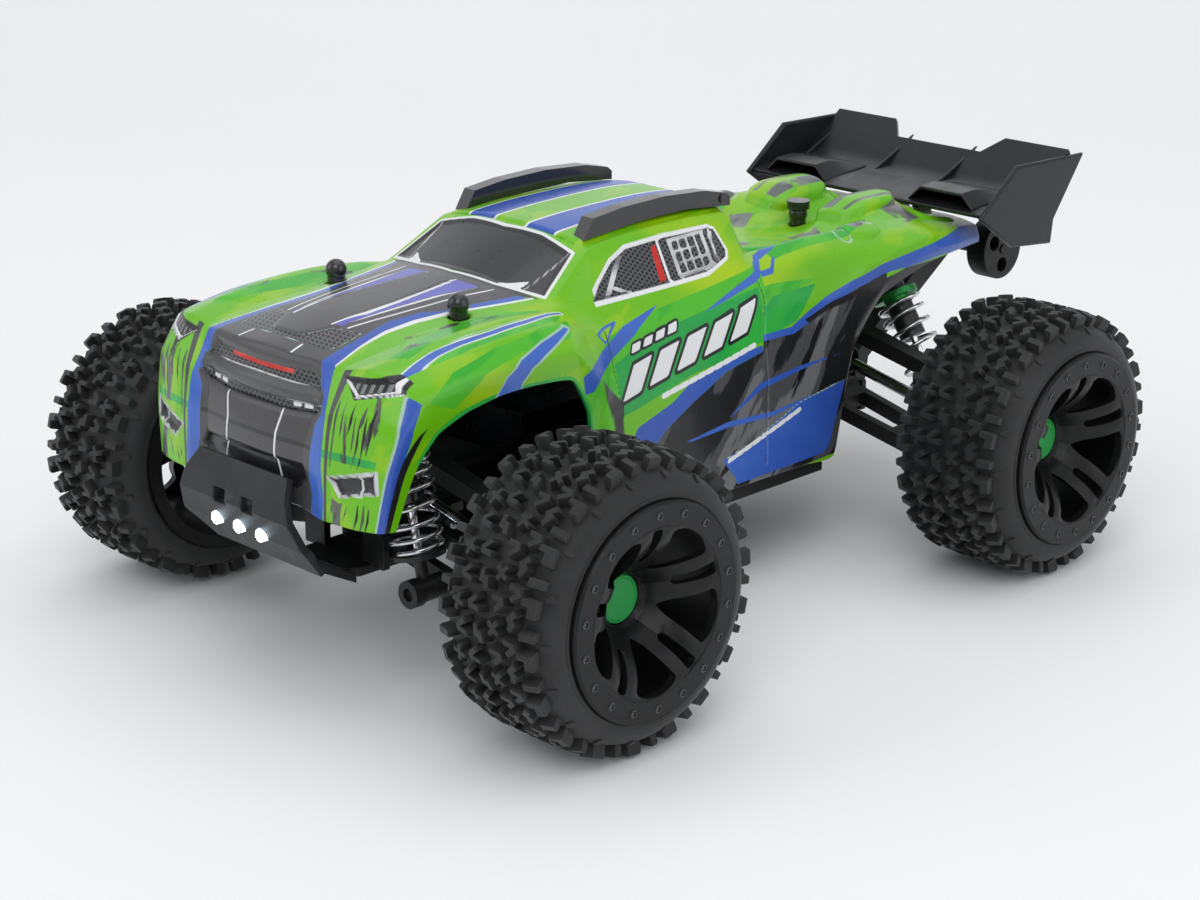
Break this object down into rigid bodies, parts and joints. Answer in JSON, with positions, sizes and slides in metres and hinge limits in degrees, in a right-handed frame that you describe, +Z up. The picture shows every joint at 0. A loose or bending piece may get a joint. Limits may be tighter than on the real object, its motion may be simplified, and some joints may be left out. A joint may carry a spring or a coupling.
{
  "type": "rc monster truck",
  "caption": "Radio-controlled four-wheel-drive monster truck with lugged tyres, wishbone suspension, a painted shell, a high rear wing and lit front bumper.",
  "frame": {"origin": "centre of the bounding box at the height the tyres stand on", "axes": "+Z up, -Y forward, +X to the truck's left"},
  "size_m": [0.2378, 0.336, 0.1294],
  "materials": {
    "tyre": "matte",
    "rim_black": "gloss",
    "black_plastic": "matte",
    "bumper_grey": "satin",
    "steel": "polished",
    "shock_green": "satin",
    "shock_black": "satin",
    "body_paint": "gloss",
    "wing_plastic": "satin",
    "lamp": "gloss",
    "gear_nylon": "matte",
    "brass": "satin",
    "motor_can": "satin",
    "battery_wrap": "gloss",
    "electronics": "matte",
    "switch_red": "gloss"
  },
  "bodies": {
    "truck": {"chassis": "black_plastic", "gear_cases": "black_plastic", "shock_towers": "black_plastic", "battery": "battery_wrap", "receiver": "electronics", "motor": "motor_can", "servo": "electronics", "front_bumper": "bumper_grey", "front_lamps": "lamp", "body_posts": "black_plastic", "body_shell": "body_paint", "roof_rails": "black_plastic", "rear_wing": "wing_plastic", "wheelie_bar": "black_plastic"},
    "lower_arm_front_left": {"lower_arm_front_left": "black_plastic"},
    "upper_arm_front_left": {"upper_arm_front_left": "black_plastic"},
    "shock_body_front_left": {"shock_body_front_left": "shock_black"},
    "shock_rod_front_left": {"shock_rod_front_left": "steel", "spring_front_left": "steel"},
    "caster_block_left": {"caster_block_left": "black_plastic"},
    "steering_knuckle_left": {"steering_knuckle_left": "black_plastic"},
    "wheel_front_left": {"tyre_front_left": "tyre", "rim_front_left": "rim_black"},
    "drive_shaft_front_left": {"drive_shaft_front_left": "steel"},
    "lower_arm_front_right": {"lower_arm_front_right": "black_plastic"},
    "upper_arm_front_right": {"upper_arm_front_right": "black_plastic"},
    "shock_body_front_right": {"shock_body_front_right": "shock_black"},
    "shock_rod_front_right": {"shock_rod_front_right": "steel", "spring_front_right": "steel"},
    "caster_block_right": {"caster_block_right": "black_plastic"},
    "steering_knuckle_right": {"steering_knuckle_right": "black_plastic"},
    "wheel_front_right": {"tyre_front_right": "tyre", "rim_front_right": "rim_black"},
    "drive_shaft_front_right": {"drive_shaft_front_right": "steel"},
    "lower_arm_rear_left": {"lower_arm_rear_left": "black_plastic"},
    "upper_arm_rear_left": {"upper_arm_rear_left": "black_plastic"},
    "shock_body_rear_left": {"shock_body_rear_left": "shock_green"},
    "shock_rod_rear_left": {"shock_rod_rear_left": "steel", "spring_rear_left": "steel"},
    "rear_hub_left": {"rear_hub_left": "black_plastic"},
    "wheel_rear_left": {"tyre_rear_left": "tyre", "rim_rear_left": "rim_black"},
    "drive_shaft_rear_left": {"drive_shaft_rear_left": "steel"},
    "lower_arm_rear_right": {"lower_arm_rear_right": "black_plastic"},
    "upper_arm_rear_right": {"upper_arm_rear_right": "black_plastic"},
    "shock_body_rear_right": {"shock_body_rear_right": "shock_green"},
    "shock_rod_rear_right": {"shock_rod_rear_right": "steel", "spring_rear_right": "steel"},
    "rear_hub_right": {"rear_hub_right": "black_plastic"},
    "wheel_rear_right": {"tyre_rear_right": "tyre", "rim_rear_right": "rim_black"},
    "drive_shaft_rear_right": {"drive_shaft_rear_right": "steel"},
    "steering_rack": {"steering_rack": "black_plastic"},
    "tie_rod_left": {"tie_rod_left": "steel"},
    "tie_rod_right": {"tie_rod_right": "steel"},
    "servo_horn": {"servo_horn": "gear_nylon"},
    "centre_shaft": {"centre_shaft": "gear_nylon"},
    "motor_pinion": {"motor_pinion": "brass"},
    "wheelie_wheels": {"wheelie_wheels": "black_plastic"},
    "power_switch": {"power_switch": "switch_red"}
  },
  "joints": [
    {"name": "suspension_front_left", "type": "hinge", "parent": "truck", "child": "lower_arm_front_left", "pos_m": [0.015, -0.1145, 0.04], "axis": [0, -1, 0], "range_deg": [0, 14], "stiffness_Nm_per_rad": 1.6, "springref_deg": -12.61},
    {"name": "upper_arm_pivot_front_left", "type": "hinge", "parent": "truck", "child": "upper_arm_front_left", "pos_m": [0.014, -0.1145, 0.067], "axis": [0, -1, 0], "range_deg": [0, 14]},
    {"name": "shock_pivot_front_left", "type": "hinge", "parent": "truck", "child": "shock_body_front_left", "pos_m": [0.0275, -0.13, 0.0875], "axis": [0, -1, 0], "range_deg": [0, 2.89]},
    {"name": "shock_travel_front_left", "type": "slide", "parent": "shock_body_front_left", "child": "shock_rod_front_left", "axis": [-0.215, 0, 0.9766], "range_m": [0, 0.00593], "deforming": ["spring_front_left"]},
    {"name": "hub_pivot_front_left", "type": "hinge", "parent": "lower_arm_front_left", "child": "caster_block_left", "pos_m": [0.05999, -0.1145, 0.03044], "axis": [0, -1, 0], "range_deg": [-14, 0]},
    {"name": "steering_left", "type": "hinge", "parent": "caster_block_left", "child": "steering_knuckle_left", "pos_m": [0.062, -0.1145, 0.044], "axis": [0, 0, 1], "range_deg": [-20, 20]},
    {"name": "spin_wheel_front_left", "type": "hinge", "parent": "steering_knuckle_left", "child": "wheel_front_left", "pos_m": [0.095, -0.1145, 0.044], "axis": [1, 0, 0], "continuous": true},
    {"name": "spin_shaft_front_left", "type": "hinge", "parent": "lower_arm_front_left", "child": "drive_shaft_front_left", "pos_m": [0.01861, -0.1145, 0.0536], "axis": [0.9781, 0, -0.2079], "continuous": true},
    {"name": "suspension_front_right", "type": "hinge", "parent": "truck", "child": "lower_arm_front_right", "pos_m": [-0.015, -0.1145, 0.04], "axis": [0, 1, 0], "range_deg": [0, 14], "stiffness_Nm_per_rad": 1.6, "springref_deg": -12.61},
    {"name": "upper_arm_pivot_front_right", "type": "hinge", "parent": "truck", "child": "upper_arm_front_right", "pos_m": [-0.014, -0.1145, 0.067], "axis": [0, 1, 0], "range_deg": [0, 14]},
    {"name": "shock_pivot_front_right", "type": "hinge", "parent": "truck", "child": "shock_body_front_right", "pos_m": [-0.0275, -0.13, 0.0875], "axis": [0, 1, 0], "range_deg": [0, 2.89]},
    {"name": "shock_travel_front_right", "type": "slide", "parent": "shock_body_front_right", "child": "shock_rod_front_right", "axis": [0.215, 0, 0.9766], "range_m": [0, 0.00593], "deforming": ["spring_front_right"]},
    {"name": "hub_pivot_front_right", "type": "hinge", "parent": "lower_arm_front_right", "child": "caster_block_right", "pos_m": [-0.05999, -0.1145, 0.03044], "axis": [0, 1, 0], "range_deg": [-14, 0]},
    {"name": "steering_right", "type": "hinge", "parent": "caster_block_right", "child": "steering_knuckle_right", "pos_m": [-0.062, -0.1145, 0.044], "axis": [0, 0, 1], "range_deg": [-20, 20]},
    {"name": "spin_wheel_front_right", "type": "hinge", "parent": "steering_knuckle_right", "child": "wheel_front_right", "pos_m": [-0.095, -0.1145, 0.044], "axis": [1, 0, 0], "continuous": true},
    {"name": "spin_shaft_front_right", "type": "hinge", "parent": "lower_arm_front_right", "child": "drive_shaft_front_right", "pos_m": [-0.01861, -0.1145, 0.0536], "axis": [0.9781, 0, 0.2079], "continuous": true},
    {"name": "suspension_rear_left", "type": "hinge", "parent": "truck", "child": "lower_arm_rear_left", "pos_m": [0.015, 0.0815, 0.04], "axis": [0, -1, 0], "range_deg": [0, 14], "stiffness_Nm_per_rad": 1.6, "springref_deg": -13.75},
    {"name": "upper_arm_pivot_rear_left", "type": "hinge", "parent": "truck", "child": "upper_arm_rear_left", "pos_m": [0.014, 0.0815, 0.067], "axis": [0, -1, 0], "range_deg": [0, 14]},
    {"name": "shock_pivot_rear_left", "type": "hinge", "parent": "truck", "child": "shock_body_rear_left", "pos_m": [0.02, 0.097, 0.087], "axis": [0, -1, 0], "range_deg": [0, 5.82]},
    {"name": "shock_travel_rear_left", "type": "slide", "parent": "shock_body_rear_left", "child": "shock_rod_rear_left", "axis": [-0.5547, 0, 0.8321], "range_m": [0, 0.00801], "deforming": ["spring_rear_left"]},
    {"name": "hub_pivot_rear_left", "type": "hinge", "parent": "lower_arm_rear_left", "child": "rear_hub_left", "pos_m": [0.05999, 0.0815, 0.03044], "axis": [0, -1, 0], "range_deg": [-14, 0]},
    {"name": "spin_wheel_rear_left", "type": "hinge", "parent": "rear_hub_left", "child": "wheel_rear_left", "pos_m": [0.095, 0.0815, 0.044], "axis": [1, 0, 0], "continuous": true},
    {"name": "spin_shaft_rear_left", "type": "hinge", "parent": "lower_arm_rear_left", "child": "drive_shaft_rear_left", "pos_m": [0.01861, 0.0815, 0.0536], "axis": [0.9781, 0, -0.2079], "continuous": true},
    {"name": "suspension_rear_right", "type": "hinge", "parent": "truck", "child": "lower_arm_rear_right", "pos_m": [-0.015, 0.0815, 0.04], "axis": [0, 1, 0], "range_deg": [0, 14], "stiffness_Nm_per_rad": 1.6, "springref_deg": -13.75},
    {"name": "upper_arm_pivot_rear_right", "type": "hinge", "parent": "truck", "child": "upper_arm_rear_right", "pos_m": [-0.014, 0.0815, 0.067], "axis": [0, 1, 0], "range_deg": [0, 14]},
    {"name": "shock_pivot_rear_right", "type": "hinge", "parent": "truck", "child": "shock_body_rear_right", "pos_m": [-0.02, 0.097, 0.087], "axis": [0, 1, 0], "range_deg": [0, 5.82]},
    {"name": "shock_travel_rear_right", "type": "slide", "parent": "shock_body_rear_right", "child": "shock_rod_rear_right", "axis": [0.5547, 0, 0.8321], "range_m": [0, 0.00801], "deforming": ["spring_rear_right"]},
    {"name": "hub_pivot_rear_right", "type": "hinge", "parent": "lower_arm_rear_right", "child": "rear_hub_right", "pos_m": [-0.05999, 0.0815, 0.03044], "axis": [0, 1, 0], "range_deg": [-14, 0]},
    {"name": "spin_wheel_rear_right", "type": "hinge", "parent": "rear_hub_right", "child": "wheel_rear_right", "pos_m": [-0.095, 0.0815, 0.044], "axis": [1, 0, 0], "continuous": true},
    {"name": "spin_shaft_rear_right", "type": "hinge", "parent": "lower_arm_rear_right", "child": "drive_shaft_rear_right", "pos_m": [-0.01861, 0.0815, 0.0536], "axis": [0.9781, 0, 0.2079], "continuous": true},
    {"name": "rack_travel", "type": "slide", "parent": "truck", "child": "steering_rack", "axis": [-1, 0, 0], "range_m": [-0.00574, 0.00574]},
    {"name": "tie_rod_travel_left", "type": "slide", "parent": "lower_arm_front_left", "child": "tie_rod_left", "axis": [-0.9925, 0, 0.1219], "range_m": [-0.00574, 0.00574]},
    {"name": "tie_rod_travel_right", "type": "slide", "parent": "lower_arm_front_right", "child": "tie_rod_right", "axis": [-0.9925, 0, -0.1219], "range_m": [-0.00574, 0.00574]},
    {"name": "servo_turn", "type": "hinge", "parent": "truck", "child": "servo_horn", "pos_m": [-0.02, -0.086, 0.048], "axis": [0, 0, 1], "range_deg": [-26.03, 26.03]},
    {"name": "spin_centre_shaft", "type": "hinge", "parent": "truck", "child": "centre_shaft", "pos_m": [0, -0.016, 0.05], "axis": [0, 1, 0], "continuous": true},
    {"name": "spin_pinion", "type": "hinge", "parent": "truck", "child": "motor_pinion", "pos_m": [0.0177, 0.0185, 0.05], "axis": [0, 1, 0], "continuous": true},
    {"name": "spin_wheelie_wheels", "type": "hinge", "parent": "truck", "child": "wheelie_wheels", "pos_m": [0, 0.157, 0.081], "axis": [1, 0, 0], "continuous": true},
    {"name": "switch_slide", "type": "slide", "parent": "truck", "child": "power_switch", "axis": [0, 1, 0], "range_m": [0, 0.003]}
  ],
  "couplings": [
    {"joint": "upper_arm_pivot_front_left", "follows": "suspension_front_left", "ratio": 1},
    {"joint": "shock_pivot_front_left", "follows": "suspension_front_left", "ratio": 0.185},
    {"joint": "shock_travel_front_left", "follows": "suspension_front_left", "m_per_rad": 0.023461},
    {"joint": "hub_pivot_front_left", "follows": "suspension_front_left", "ratio": -1},
    {"joint": "spin_wheel_front_left", "follows": "spin_wheel_rear_left", "ratio": 1},
    {"joint": "spin_shaft_front_left", "follows": "spin_wheel_rear_left", "ratio": 1},
    {"joint": "upper_arm_pivot_front_right", "follows": "suspension_front_right", "ratio": 1},
    {"joint": "shock_pivot_front_right", "follows": "suspension_front_right", "ratio": 0.185},
    {"joint": "shock_travel_front_right", "follows": "suspension_front_right", "m_per_rad": 0.023461},
    {"joint": "hub_pivot_front_right", "follows": "suspension_front_right", "ratio": -1},
    {"joint": "steering_right", "follows": "steering_left", "ratio": 1},
    {"joint": "spin_wheel_front_right", "follows": "spin_wheel_rear_left", "ratio": 1},
    {"joint": "spin_shaft_front_right", "follows": "spin_wheel_rear_left", "ratio": 1},
    {"joint": "upper_arm_pivot_rear_left", "follows": "suspension_rear_left", "ratio": 1},
    {"joint": "shock_pivot_rear_left", "follows": "suspension_rear_left", "ratio": 0.394},
    {"joint": "shock_travel_rear_left", "follows": "suspension_rear_left", "m_per_rad": 0.031952},
    {"joint": "hub_pivot_rear_left", "follows": "suspension_rear_left", "ratio": -1},
    {"joint": "spin_shaft_rear_left", "follows": "spin_wheel_rear_left", "ratio": 1},
    {"joint": "upper_arm_pivot_rear_right", "follows": "suspension_rear_right", "ratio": 1},
    {"joint": "shock_pivot_rear_right", "follows": "suspension_rear_right", "ratio": 0.394},
    {"joint": "shock_travel_rear_right", "follows": "suspension_rear_right", "m_per_rad": 0.031952},
    {"joint": "hub_pivot_rear_right", "follows": "suspension_rear_right", "ratio": -1},
    {"joint": "spin_wheel_rear_right", "follows": "spin_wheel_rear_left", "ratio": 1},
    {"joint": "spin_shaft_rear_right", "follows": "spin_wheel_rear_left", "ratio": 1},
    {"joint": "rack_travel", "follows": "steering_left", "m_per_rad": 0.016167},
    {"joint": "tie_rod_travel_left", "follows": "steering_left", "m_per_rad": 0.016167},
    {"joint": "tie_rod_travel_right", "follows": "steering_left", "m_per_rad": 0.016167},
    {"joint": "servo_turn", "follows": "steering_left", "ratio": -1.2864},
    {"joint": "spin_centre_shaft", "follows": "spin_wheel_rear_left", "ratio": 3},
    {"joint": "spin_pinion", "follows": "spin_wheel_rear_left", "ratio": -8.8}
  ]
}
